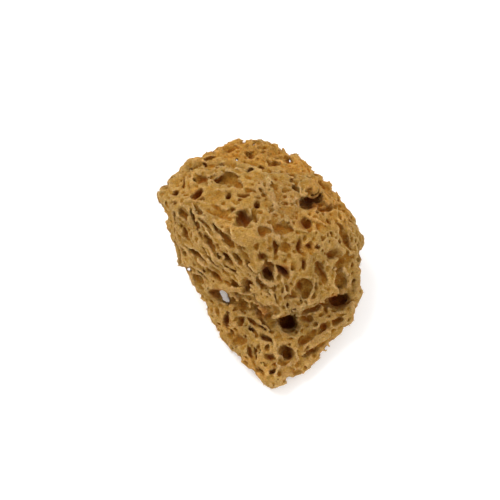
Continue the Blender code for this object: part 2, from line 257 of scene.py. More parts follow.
# Thin ridges that are seen, each a line of pixels, and their radius in millimetres
RIDGES = [
    [(185, 205), (187, 214), (190, 223), (194, 233), (199, 241)],
    [(191, 205), (195, 217), (200, 228), (205, 238)],
    [(195, 214), (204, 217), (212, 227), (220, 238)],
    [(204, 214), (214, 222), (225, 231), (233, 240), (236, 251)],
    [(197, 227), (207, 231), (214, 240), (219, 251), (223, 258)],
    [(183, 247), (193, 257), (204, 264), (213, 270)],
    [(187, 244), (199, 250), (210, 264)],
    [(204, 243), (213, 256), (219, 268)],
    [(183, 259), (195, 266), (208, 275), (214, 283)],
    [(206, 246), (216, 258), (229, 270), (244, 283), (255, 290)],
    [(230, 252), (240, 266), (252, 277), (262, 290), (270, 303)],
    [(243, 257), (254, 270), (266, 283), (273, 297), (277, 312)],
    [(208, 286), (224, 289), (244, 293), (258, 296), (269, 305), (276, 316)],
    [(276, 316), (286, 313), (297, 310), (308, 303), (318, 299)],
    [(282, 279), (285, 291), (280, 304), (276, 316)],
    [(296, 279), (290, 292), (292, 304)],
    [(297, 278), (306, 276), (314, 279), (313, 290), (308, 300)],
    [(314, 303), (322, 300), (329, 309)],
    [(275, 320), (276, 328), (285, 335), (296, 337), (302, 327)],
    [(271, 331), (275, 346), (276, 358), (279, 366), (275, 376)],
    [(231, 306), (238, 316), (252, 318), (268, 327), (273, 338)],
    [(234, 325), (247, 333), (258, 340), (271, 345)],
    [(229, 297), (232, 311), (235, 325), (243, 336), (254, 343), (262, 350), (262, 360)],
    [(304, 347), (314, 338), (328, 331), (338, 327)],
    [(285, 345), (296, 349), (298, 361), (289, 365), (281, 359), (279, 350)],
    [(298, 180), (302, 195), (312, 197), (321, 191)],
    [(322, 200), (312, 206), (301, 212)],
    [(326, 180), (335, 195), (344, 206), (350, 217)],
    [(303, 214), (315, 221), (326, 226), (335, 222), (344, 219)],
    [(284, 226), (298, 228), (315, 232), (326, 239)],
    [(334, 228), (335, 241), (342, 251), (351, 255)],
    [(346, 224), (353, 237), (355, 250)],
    [(209, 185), (214, 176), (226, 171), (240, 173)],
    [(216, 190), (230, 189), (243, 183), (254, 182)],
    [(182, 203), (190, 201), (206, 203), (218, 206)],
    [(334, 275), (337, 270), (344, 270), (350, 275), (350, 284), (345, 290), (337, 290), (333, 284),
     (334, 275)],
    [(322, 289), (330, 292), (338, 291)],
    [(326, 262), (332, 267), (337, 270)],
    [(288, 262), (292, 272), (290, 280)],
]
RIDGE_RADIUS = 0.75

# Rounded swellings that are seen: a line of pixels, the radius and the rise in millimetres
SWELLINGS = [
    ([(305, 183), (313, 187)], 4.5, 1.8),
    ([(190, 162), (215, 162), (238, 166), (262, 173), (270, 182)], 3.4, 1.6),
    ([(323, 201), (312, 207), (303, 212)], 1.8, 1.2),
    ([(334, 226), (335, 240), (343, 253)], 1.6, 1.0),
    ([(268, 286), (277, 312)], 3.5, 1.0),
    ([(208, 285), (232, 289), (256, 294), (268, 303), (276, 314)], 2.2, 1.2),
    ([(278, 313), (300, 307), (317, 297)], 2.2, 1.0),
    ([(271, 331), (276, 360)], 2.5, 1.0),
    ([(268, 182), (276, 208), (270, 230)], 2.0, 0.8),
    ([(172, 186), (172, 206), (182, 222)], 2.5, 0.6),
    ([(330, 292), (347, 290), (355, 294)], 2.2, 1.0),
    ([(356, 272), (357, 284), (355, 296)], 2.8, 1.8),
    ([(353, 304), (352, 312)], 2.5, 1.5),
    ([(191, 271), (194, 281)], 2.5, 1.8),
    ([(249, 370), (256, 378)], 2.5, 1.2),
    ([(179, 177), (187, 169), (196, 164)], 3.5, 2.0),
    ([(233, 312), (262, 322)], 3.5, 1.5),
    ([(241, 330), (266, 343)], 3.0, 1.2),
    ([(286, 336), (305, 338)], 3.0, 1.5),
    ([(257, 352), (267, 372)], 2.5, 1.0),
    ([(303, 352), (326, 337)], 2.5, 1.0),
    ([(229, 301), (236, 310)], 2.5, 1.0),
    ([(213, 290), (219, 295)], 3, -3),
    ([(229, 153), (236, 151)], 4, -1),
    ([(254, 147), (263, 147)], 4, -1),
]

# Soft spots in pixels, as (x, y, reach across, reach down, strength): where few but the smallest
# pits are cut, where the sponge is more orange, where it is greyer, where the outline's fibres are
# longer, where fibres are many and the pits crowd, and where the deepest pits get painted shade
CALM_SPOTS = [
    (216, 292, 7, 6, 1.5),
    (282, 208, 20, 26, 1), (248, 236, 18, 16, 1), (222, 190, 28, 16, 1), (246, 186, 20, 20, 1),
    (225, 164, 44, 6, 1), (309, 186, 13, 12, 1), (295, 238, 26, 12, 0.7), (278, 305, 14, 12, 0.8),
    (330, 218, 14, 12, 0.8),
    (240, 303, 18, 8, 0.8), (208, 232, 22, 26, 0.8), (235, 272, 30, 20, 0.7), (306, 286, 16, 18, 1),
    (340, 281, 14, 12, 1), (322, 250, 24, 18, 0.8), (320, 292, 16, 12, 0.8), (290, 345, 26, 22, 0.6),
    (250, 330, 26, 16, 0.5),
]
ORANGE_SPOTS = [
    (205, 152, 24, 9, 0.6), (238, 149, 24, 12, 0.9), (272, 154, 24, 12, 0.9), (300, 166, 18, 10, 0.9),
    (325, 190, 18, 20, 0.9), (312, 220, 20, 10, 0.6), (340, 212, 14, 16, 0.7), (308, 247, 10, 6, 0.6),
    (232, 222, 14, 8, 0.4), (196, 194, 8, 8, 0.5), (230, 335, 14, 14, 0.4), (250, 368, 22, 12, 0.6),
    (318, 348, 20, 14, 0.2), (240, 303, 16, 7, 0.4),
]
GREY_SPOTS = [
    (284, 205, 18, 22, 0.9), (272, 226, 16, 16, 0.8), (262, 190, 14, 10, 0.5), (205, 246, 26, 34, 0.25),
    (248, 280, 24, 16, 0.2), (282, 292, 20, 20, 0.3), (288, 366, 14, 10, 0.7),
]
RAGGED_SPOTS = [
    (240, 146, 36, 12, 1), (286, 156, 24, 14, 1), (352, 222, 10, 30, 0.7), (224, 336, 14, 24, 1),
    (250, 372, 16, 14, 0.8), (166, 200, 8, 24, 0.6),
]
FUZZY_SPOTS = [
    (352, 224, 8, 26, 0.5), (222, 335, 12, 22, 0.6), (175, 240, 8, 30, 0.3),
    (200, 155, 20, 8, 0.6), (238, 148, 24, 10, 0.9), (272, 152, 24, 10, 0.9), (300, 164, 16, 8, 0.8),
    (284, 205, 16, 22, 0.8), (262, 192, 16, 12, 0.6), (326, 180, 14, 14, 0.5), (344, 205, 10, 16, 0.5),
    (235, 345, 14, 12, 0.8), (256, 366, 16, 12, 0.7), (165, 190, 10, 12, 0.4), (242, 305, 18, 8, 0.9),
    (320, 350, 20, 12, 0.4), (272, 232, 14, 10, 0.5), (215, 318, 10, 14, 0.5), (205, 285, 10, 10, 0.3),
]
# Painted shade: the deepest pits and hollows are painted dimmer here
PAINTED_SHADE_SPOTS = [
    (338, 301, 10, 7, 1), (287, 322, 9, 7, 1), (310, 204, 9, 6, 0.8), (268, 268, 6, 6, 0.7),
    (262, 313, 7, 6, 0.7), (244, 219, 7, 6, 0.5), (216, 293, 6, 5, 0.8), (283, 270, 6, 5, 0.9),
    (303, 224, 6, 5, 0.4), (228, 322, 5, 6, 0.3),
]

# Channels along the line of sight, through which the floor shows: x, y and width in pixels, and
# how far they reach each way in millimetres
CHANNELS = [(189, 269, 3.2), (237, 160, 3), (254, 145, 2.6), (290, 161, 3.2)]
CHANNEL_LENGTH = 45

# Notches in the outline, cut the same way
NOTCHES = [(290, 380, 8), (297, 379, 5), (199, 296, 4.5), (226, 344, 5), (239, 359, 6),
           (327, 348, 5), (353, 321, 5), (358, 273, 4), (275, 143, 3)]

# The pits that find their own places: the largest half-width, in millimetres, on the hidden and the
# seen sides, the smallest, how many sizes there are, how far out of shape they are, how many places
# are tried at each size, and how thick the walls stay between large and between small pits. In a
# place more hollow than SMALL_ONLY_ABOVE no pit is larger than SMALL_SIZE, and calm spots keep out
# those larger than CALM_SIZE. A place is seen where it faces the eye by SEEN_FACING. A seen pit
# isn't cut where CARVED_AWAY is gone already, and none farther than BURIED from the surface.
OWN_PIT_LARGEST = 2.4
OWN_PIT_LARGEST_SEEN = 1.4
OWN_PIT_SMALLEST = 0.55
OWN_PIT_SIZES = 9
OWN_PIT_WOBBLE = 0.75
PLACES_TRIED = 7000
THICK_WALL = 1.4
THIN_WALL = 1.0
SMALL_ONLY_ABOVE = 0.55
SMALL_SIZE = 0.8
CALM_SIZE = 0.6
SEEN_FACING = 0.25
CARVED_AWAY = 0.5
BURIED = 1.2

# The short fibres that stand off the sponge, in tufts: how many tufts are tried, how many fibres
# are in each, how far its roots spread, how long the fibres are and how wide, the share of tufts
# kept on smooth parts, how much longer they are on ragged ones, and how low they start
TUFTS = 17000
FIBRES_IN_TUFT = 6
TUFT_SPREAD = 0.3
FIBRE_LENGTHS = (0.6, 2.0)
FIBRE_WIDTH = 0.21
FIBRES_SHARE_SMOOTH = 0.13
LONGER_WHERE_RAGGED = 0.35
LOWEST_FIBRE = 0.8
FIBRE_COLOURS = {
    "fibres_tan": (0.54, 0.36, 0.135),
    "fibres_brown": (0.37, 0.205, 0.040),
    "fibres_orange": (0.50, 0.270, 0.050),
}

# The sponge's colours on its ridges, its body and down in its pits, the pit colour partly painted
# shade, and what the soft spots multiply them by, the last tint painted shade in the deepest pits
RIDGE_TAN = (0.475, 0.320, 0.135)
BODY_BROWN = (0.34, 0.192, 0.036)
PIT_BROWN_AND_SHADE = (0.33, 0.140, 0.003)
ORANGE_TINT = (1.18, 1.01, 0.68)
GREY_TINT = (0.93, 0.92, 1.06)
PAINTED_SHADE_TINT = (0.62, 0.34, 0.06)

# The floor's half width in metres and how far under the sponge it lies, how pale it is and how much
# light it adds of its own
FLOOR_HALF = 3.0
FLOOR_DROP = 0.0002
FLOOR_PALE = 0.93
FLOOR_GLOW = 0.2

# The lights, as name, place and size in metres, and power in watts, and the room's own light
LIGHTS = [
    ("key", (-0.60, 0.25, 1.2), 0.8, 12),
    ("fill", (0.8, -0.6, 1.0), 1.2, 6),
]
ROOM_LIGHT = 0.80


def smooth_noise(shape, wavelength, dice):
    """Smooth random values over the grid, about -1 to 1, that change over a wavelength in mm."""
    spacing = wavelength / 2 / CELL
    coarse_shape = [int(n / spacing) + 4 for n in shape]
    values = dice.normal(0, 0.6, coarse_shape)
    for axis, count in enumerate(shape):
        place = np.arange(count) / spacing
        whole = place.astype(int)
        share = place - whole
        weights = np.zeros((count, coarse_shape[axis]))
        rows = np.arange(count)
        weights[rows, whole] += (1 - share) ** 3 / 6
        weights[rows, whole + 1] += (3 * share ** 3 - 6 * share ** 2 + 4) / 6
        weights[rows, whole + 2] += (-3 * share ** 3 + 3 * share ** 2 + 3 * share + 1) / 6
        weights[rows, whole + 3] += share ** 3 / 6
        values = np.moveaxis(np.tensordot(weights, values, axes=(1, axis)), 0, axis)
    return (values * 2.2).astype(np.float32)


def spread(values, reach, times=3):
    """Values averaged over a box that reaches so many cells each way, some times over."""
    for _ in range(times):
        for axis in range(3):
            padded = np.concatenate(
                [np.repeat(np.take(values, [0], axis), reach + 1, axis), values,
                 np.repeat(np.take(values, [-1], axis), reach, axis)], axis)
            total = np.cumsum(padded, axis, dtype=np.float64)
            width = 2 * reach + 1
            high = np.take(total, range(width, total.shape[axis]), axis)
            low = np.take(total, range(total.shape[axis] - width), axis)
            values = ((high - low) / width).astype(np.float32)
    return values


class Carving:
    """The sponge as distances on a grid, with what it takes to cut pits in it."""

    def __init__(self, points, triangles, dice):
        low = points.min(0) - MARGIN
        high = points.max(0) + MARGIN
        shape = tuple(int(n) for n in np.ceil((high - low) / CELL) + 1)
        transform = openvdb.createLinearTransform(voxelSize=CELL)
        grid = openvdb.FloatGrid.createLevelSetFromPolygons(
            points, triangles=triangles, transform=transform, halfWidth=BAND_CELLS)
        self.first = np.floor(low / CELL).astype(int)
        self.distance = np.full(shape, BAND_CELLS * CELL, dtype=np.float32)
        grid.copyToArray(self.distance, ijk=tuple(int(n) for n in self.first))
        self.shape = shape
        self.warp = [sum(smooth_noise(shape, wavelength, dice) * height
                         for wavelength, height in WARP_NOISE) for _ in range(3)]

    def smooth_seen_side(self, points, triangles, hollow):
        """Fills all but the widest pits on the side that is seen, to be cut again more finely."""
        transform = openvdb.createLinearTransform(voxelSize=CELL)
        grid = openvdb.FloatGrid.createLevelSetFromPolygons(
            points, triangles=triangles, transform=transform, halfWidth=BAND_CELLS)
        corners, quads = grid.convertToQuads(isovalue=FILL_REACH)
        grown = openvdb.FloatGrid.createLevelSetFromPolygons(
            corners, quads=quads, transform=transform, halfWidth=BAND_CELLS)
        filled = np.full(self.shape, BAND_CELLS * CELL, dtype=np.float32)
        grown.copyToArray(filled, ijk=tuple(int(n) for n in self.first))
        filled += FILL_REACH
        rise = np.gradient(hollow, CELL)
        steep = np.sqrt(sum(part * part for part in rise)) + 1e-6
        facing = -sum(part * float(c) for part, c in zip(rise, TOWARDS_EYE)) / steep
        share = np.clip((facing - SEEN_FACING) / 0.2, 0, 1)
        self.distance += (np.minimum(filled, self.distance) - self.distance) * share

    def surface(self):
        """Points and faces where the distance is 0."""
        grid = openvdb.FloatGrid(3.0)
        grid.transform = openvdb.createLinearTransform(voxelSize=CELL)
        grid.copyFromArray(np.clip(self.distance, -3, 3).astype(np.float32),
                           ijk=tuple(int(n) for n in self.first))
        points, quads = grid.convertToQuads(isovalue=0)
        return np.asarray(points), np.asarray(quads)

    def axes(self, low, high):
        return [((np.arange(a, b) + f) * CELL).astype(np.float32)
                for a, b, f in zip(low, high, self.first)]

    def around(self, places, reach):
        """The part of the grid that reaches so far round some places, and how far off it begins."""
        low = [max(int((min(p[i] for p in places) - reach) / CELL) - self.first[i], 0)
               for i in range(3)]
        high = [min(int((max(p[i] for p in places) + reach) / CELL) - self.first[i] + 2,
                    self.shape[i]) for i in range(3)]
        if any(a >= b for a, b in zip(low, high)):
            return None, None
        return tuple(slice(a, b) for a, b in zip(low, high)), self.axes(low, high)

    def cut_pit(self, centre, along, inward, halves, wobble, lip=LIP):
        """Cuts an egg-shaped pit, bent out of shape by the grid's warp."""
        inward = inward.normalized()
        along = (along - inward * along.dot(inward)).normalized()
        across = inward.cross(along)
        part, axes = self.around([centre], max(halves) + 2)
        if part is None:
            return
        x, y, z = axes
        x = x[:, None, None] - centre[0] + self.warp[0][part] * wobble
        y = y[None, :, None] - centre[1] + self.warp[1][part] * wobble
        z = z[None, None, :] - centre[2] + self.warp[2][part] * wobble
        total = 0
        for axis, half in zip((along, across, inward), halves):
            total = total + ((x * axis[0] + y * axis[1] + z * axis[2]) / half) ** 2
        pit = (1 - np.sqrt(total)) * min(halves)
        here = self.distance[part]
        blend = np.maximum(lip - np.abs(here - pit), 0)
        self.distance[part] = np.maximum(here, pit) + blend * blend / (4 * lip)

    def raise_ridge(self, start, end, radius, wobble):
        """Adds a rounded ridge between two places, melted into what is there."""
        part, axes = self.around([start, end], radius + 2)
        if part is None:
            return
        x, y, z = axes
        x = x[:, None, None] - start[0] + self.warp[0][part] * wobble
        y = y[None, :, None] - start[1] + self.warp[1][part] * wobble
        z = z[None, None, :] - start[2] + self.warp[2][part] * wobble
        run = end - start
        share = (x * run[0] + y * run[1] + z * run[2]) / max(run.length_squared, 1e-6)
        share = np.clip(share, 0, 1)
        ridge = np.sqrt((x - share * run[0]) ** 2 + (y - share * run[1]) ** 2
                        + (z - share * run[2]) ** 2) - radius
        here = self.distance[part]
        blend = np.maximum(RIDGE_MELT - np.abs(here - ridge), 0)
        self.distance[part] = np.minimum(here, ridge) - blend * blend / (4 * RIDGE_MELT)


def seen_on(surface, x, y):
    """Where the eye's line through a pixel meets the sponge, in millimetres, and its facing."""
    across = (x - LOOKED_AT_PIXEL[0]) * MM_PER_PIXEL
    up = (LOOKED_AT_PIXEL[1] - y) * MM_PER_PIXEL
    line = (SEEN_MIDDLE + RIGHT * across + UP * up - EYE).normalized()
    place, facing, _, _ = surface.ray_cast(EYE, line)
    return place, facing


def pixels_of(places):
    """The pixel at which the eye sees each place."""
    off = places - np.array(EYE)
    depth = -(off @ np.array(TOWARDS_EYE))
    scale = EYE_DISTANCE / depth / MM_PER_PIXEL
    return (LOOKED_AT_PIXEL[0] + off @ np.array(RIGHT) * scale,
            LOOKED_AT_PIXEL[1] - off @ np.array(UP) * scale)


def spots_at(places, spots):
    """How strongly soft spots act at each place, from 0 to 1."""
    x, y = pixels_of(places)
    total = np.zeros(len(places))
    for spot_x, spot_y, across, down, strength in spots:
        far = ((x - spot_x) / across) ** 2 + ((y - spot_y) / down) ** 2
        total = np.maximum(total, strength * np.clip(1.5 - far, 0, 1))
    return total


def flow_direction(facing, height, dice):
    """Which way the grooves run on a surface that faces so, and how long they are for their width."""
    if facing.z < -0.75:
        return RIGHT * dice.normal() + Vector((0, 1, 0)) * dice.normal(), 1.2
    toward = facing.dot(TOWARDS_EYE)
    if toward < 0.15:
        return Vector((0.3 * dice.normal(), 0.3 * dice.normal(), 1)), dice.uniform(1, 2.2)
    if facing.x < -0.2:
        if height > 32:
            return RIGHT * 1.0 - UP * (1.0 + 0.2 * dice.normal()), dice.uniform(1.6, 3.6)
        return RIGHT * 0.5 - UP * (1.0 + 0.3 * dice.normal()), dice.uniform(1, 2)
    if facing.x > 0.15 and height < 32:
        return RIGHT * 1.0 + UP * (0.6 + 0.3 * dice.normal()), dice.uniform(1.2, 2.4)
    if facing.z > 0.93:
        return RIGHT * dice.normal() + UP * dice.normal(), dice.uniform(1, 1.6)
    return RIGHT * (0.25 * dice.normal()) + UP, dice.uniform(1, 2)


def random_places(points, triangles, count, dice):
    """Places spread evenly over the surface, and its facing at each."""
    corners = points[triangles]
    normal = np.cross(corners[:, 1] - corners[:, 0], corners[:, 2] - corners[:, 0])
    area = np.linalg.norm(normal, axis=1)
    keep = area > 1e-9
    corners, normal, area = corners[keep], normal[keep], area[keep]
    picked = dice.choice(len(area), count, p=area / area.sum())
    a, b = dice.random(count), dice.random(count)
    over = a + b > 1
    a[over], b[over] = 1 - a[over], 1 - b[over]
    corner = corners[picked]
    place = corner[:, 0] + a[:, None] * (corner[:, 1] - corner[:, 0])
    place = place + b[:, None] * (corner[:, 2] - corner[:, 0])
    return place, normal[picked] / area[picked][:, None]


def carved_at(carving, place):
    """The distance on the grid at the cell nearest to a place, below 0 inside what is left."""
    cell = np.clip(np.round(place / CELL).astype(int) - carving.first, 0,
                   np.array(carving.shape) - 1)
    return carving.distance[tuple(cell)]


def cut_own_pits(carving, points, triangles, hollow, dice):
    """Cuts pits from large to small, each where there is room between those already cut."""
    pitch = OWN_PIT_LARGEST * 2.2
    kept = {}
    sizes = np.geomspace(OWN_PIT_LARGEST, OWN_PIT_SMALLEST, OWN_PIT_SIZES)
    for size in sizes:
        places, facings = random_places(points, triangles, PLACES_TRIED, dice)
        inside = hollow_at(hollow, carving, places)
        calm = spots_at(places, CALM_SPOTS)
        fuzzy = spots_at(places, FUZZY_SPOTS) > 0.4
        for place, facing, deep, calmness, crumbly in zip(places, facings, inside, calm, fuzzy):
            if deep > SMALL_ONLY_ABOVE and size > SMALL_SIZE:
                continue
            seen = facing @ TOWARDS_EYE > SEEN_FACING
            if seen and size > CALM_SIZE and dice.random() < calmness * (0.5 if crumbly else 1):
                continue
            if seen and (size > OWN_PIT_LARGEST_SEEN or carved_at(carving, place) > CARVED_AWAY):
                continue
            if abs(carved_at(carving, place)) > BURIED:
                continue
            half = size * dice.uniform(0.8, 1.15)
            block = tuple((place // pitch).astype(int))
            near = [other for dx in (-1, 0, 1) for dy in (-1, 0, 1) for dz in (-1, 0, 1)
                    for other in kept.get((block[0] + dx, block[1] + dy, block[2] + dz), ())]
            crowded = False
            for other, other_along, other_stretch, other_half in near:
                gap = place - other
                length = abs(gap.dot(other_along))
                side = math.sqrt(max(gap.dot(gap) - length * length, 0))
                wall = THIN_WALL if half < 1 or crumbly and seen else THICK_WALL
                room = half + other_half + wall
                if (length / (room * other_stretch)) ** 2 + (side / room) ** 2 < 1:
                    crowded = True
                    break
            if crowded:
                continue
            facing = Vector(facing)
            along, stretch = flow_direction(facing, place[2], dice)
            along = along - facing * along.dot(facing)
            if along.length < 0.05:
                along = facing.orthogonal()
            along.normalize()
            stretch = 1 + (stretch - 1) * min(1, size / 1.2)
            kept.setdefault(block, []).append((place, np.array(along), stretch, half))
            tilt = Vector(dice.normal(0, 0.25, 3))
            depth = half * (dice.uniform(0.5, 1.3) if seen else dice.uniform(0.8, 2.0))
            centre = Vector(place) - facing * 0.25 * half
            carving.cut_pit(centre, along, -facing + tilt, (half * stretch, half, depth),
                            OWN_PIT_WOBBLE)


def hollow_at(values, carving, places):
    """A grid's values at places given in millimetres, from the eight cells round each."""
    spot = np.clip(places / CELL - carving.first, 0, np.array(values.shape) - 1.001)
    whole = spot.astype(int)
    share = spot - whole
    total = np.zeros(len(places))
    for dx in (0, 1):
        for dy in (0, 1):
            for dz in (0, 1):
                weight = 1
                for axis, d in enumerate((dx, dy, dz)):
                    weight = weight * (share[:, axis] if d else 1 - share[:, axis])
                total += weight * values[whole[:, 0] + dx, whole[:, 1] + dy, whole[:, 2] + dz]
    return total


def fullness(carving, reach_mm):
    """How full of sponge the space is round each cell: 0.5 on a flat face, more down in a pit."""
    solid = np.clip(0.5 - carving.distance / (2 * CELL), 0, 1)
    return spread(solid, max(1, round(reach_mm / CELL / 2)))


def largest_piece(points, quads):
    """The points and faces of the largest connected piece."""
    links = [[] for _ in range(len(points))]
    for a, b, c, d in quads.tolist():
        links[a] += (b, d)
        links[b] += (a, c)
        links[c] += (b, d)
        links[d] += (c, a)
    piece_of = [-1] * len(points)
    sizes = []
    for start in range(len(points)):
        if piece_of[start] >= 0:
            continue
        number = len(sizes)
        waiting = [start]
        piece_of[start] = number
        size = 0
        while waiting:
            here = waiting.pop()
            size += 1
            for other in links[here]:
                if piece_of[other] < 0:
                    piece_of[other] = number
                    waiting.append(other)
        sizes.append(size)
    piece_of = np.array(piece_of)
    keep = piece_of == int(np.argmax(sizes))
    renumbered = np.cumsum(keep) - 1
    faces = quads[keep[quads[:, 0]]]
    return points[keep], renumbered[faces]


def mesh_from(name, points, faces):
    mesh = bpy.data.meshes.new(name)
    mesh.vertices.add(len(points))
    mesh.vertices.foreach_set("co", (points * MM).astype(np.float32).ravel())
    sides = faces.shape[1]
    mesh.loops.add(len(faces) * sides)
    mesh.loops.foreach_set("vertex_index", faces.astype(np.int32).ravel())
    mesh.polygons.add(len(faces))
    mesh.polygons.foreach_set("loop_start", np.arange(0, len(faces) * sides, sides, dtype=np.int32))
    mesh.update(calc_edges=True)
    mesh.shade_smooth()
    return mesh


def carve_sponge():
    dice = np.random.default_rng(SEED)
    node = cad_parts["sea_sponge"]
    mesh = node.data
    mesh.calc_loop_triangles()
    points = np.empty(len(mesh.vertices) * 3, dtype=np.float32)
    mesh.vertices.foreach_get("co", points)
    points = points.reshape(-1, 3) / MM
    triangles = np.empty(len(mesh.loop_triangles) * 3, dtype=np.int32)
    mesh.loop_triangles.foreach_get("vertices", triangles)
    triangles = triangles.reshape(-1, 3)

    carving = Carving(points, triangles, dice)
    hollow = fullness(carving, 3)
    carving.smooth_seen_side(points, triangles, fullness(carving, 7))
    for wavelength, height in BROAD_NOISE:
        carving.distance += smooth_noise(carving.shape, wavelength, dice) * height
    skin_points, skin_quads = carving.surface()
    surface = BVHTree.FromPolygons(skin_points.tolist(), skin_quads.tolist())

    for line, radius, rise in SWELLINGS:
        seen = [seen_on(surface, x, y) for x, y in line]
        middles = [place - facing * (radius - rise) for place, facing in seen if place is not None]
        for start, end in zip(middles, middles[1:]):
            carving.raise_ridge(start, end, radius, 0.8)
    for pit in BOWLS + SLOTS + LEDGE:
        first, first_facing = seen_on(surface, pit.x0, pit.y0)
        last, last_facing = seen_on(surface, pit.x1, pit.y1)
        if first is None or last is None:
            continue
        along = last - first
        half = pit.width * MM_PER_PIXEL / 2
        half_length = min(along.length / 2, 9) + half
        if along.length < 0.01:
            along = RIGHT
        inward = -(first_facing + last_facing + TOWARDS_EYE)
        lip = min(max(half * 0.45, 0.5), 2.0)
        carving.cut_pit((first + last) / 2, along, inward, (half_length, half, pit.depth),
                        min(1.4, 0.3 + half * 0.25), lip)
    for line in RIDGES:
        places = [seen_on(surface, x, y)[0] for x, y in line]
        for start, end in zip(places, places[1:]):
            if start is not None and end is not None and (end - start).length < 14:
                carving.raise_ridge(start, end, RIDGE_RADIUS, 0.9)
    x0, y0, x1, y1, width = SEE_THROUGH
    first, _ = seen_on(surface, x0, y0)
    last, _ = seen_on(surface, x1, y1)
    half = width * MM_PER_PIXEL / 2
    middle = (first + last) / 2
    carving.cut_pit(middle, last - first, middle - EYE,
                    ((last - first).length / 2 + half, half, SEE_THROUGH_LENGTH), 0.4)
    for x, y, width in CHANNELS + NOTCHES:
        place, _ = seen_on(surface, x, y)
        if place is not None:
            half = width * MM_PER_PIXEL / 2
            carving.cut_pit(place, RIGHT, place - EYE, (half, half, CHANNEL_LENGTH), 0.2)
    skin = np.concatenate((skin_quads[:, (0, 1, 2)], skin_quads[:, (0, 2, 3)]))
    cut_own_pits(carving, skin_points, skin, hollow, dice)
    for wavelength, height in FINE_NOISE:
        carving.distance += smooth_noise(carving.shape, wavelength, dice) * height

    height = ((np.arange(carving.shape[2]) + carving.first[2]) * CELL).astype(np.float32)
    carving.distance = np.maximum(carving.distance, -height[None, None, :])

    corners, quads = carving.surface()
    corners, quads = largest_piece(corners, quads)
    sponge = bpy.data.objects.new("carved_sponge", mesh_from("carved_sponge", corners, quads))
    bpy.context.scene.collection.objects.link(sponge)
    thinned = sponge.modifiers.new("thinned", "DECIMATE")
    thinned.ratio = min(1, TRIANGLES / (2 * len(quads)))
    graph = bpy.context.evaluated_depsgraph_get()
    thin = bpy.data.meshes.new_from_object(sponge.evaluated_get(graph))
    sponge.modifiers.clear()
    sponge.data = thin
    thin.shade_smooth()

    places = np.empty(len(thin.vertices) * 3, dtype=np.float32)
    thin.vertices.foreach_get("co", places)
    places = places.reshape(-1, 3) / MM
    pores = fullness(carving, 1.6)
    # How deep each place lies among the pores and pits, which the material turns partly into painted
    # shade, and the soft spots, the last of them painted shade in the deepest pits
    for name, values in (("pore_depth", hollow_at(pores, carving, places)),
                         ("pit_depth", hollow_at(fullness(carving, 4.5), carving, places)),
                         ("orange", spots_at(places, ORANGE_SPOTS)),
                         ("grey", spots_at(places, GREY_SPOTS)),
                         ("painted_shade", spots_at(places, PAINTED_SHADE_SPOTS))):
        layer = thin.attributes.new(name, "FLOAT", "POINT")
        layer.data.foreach_set("value", values.astype(np.float32))
    thin.calc_loop_triangles()
    faces = np.empty(len(thin.loop_triangles) * 3, dtype=np.int32)
    thin.loop_triangles.foreach_get("vertices", faces)
    return sponge, carving, pores, places, faces.reshape(-1, 3)


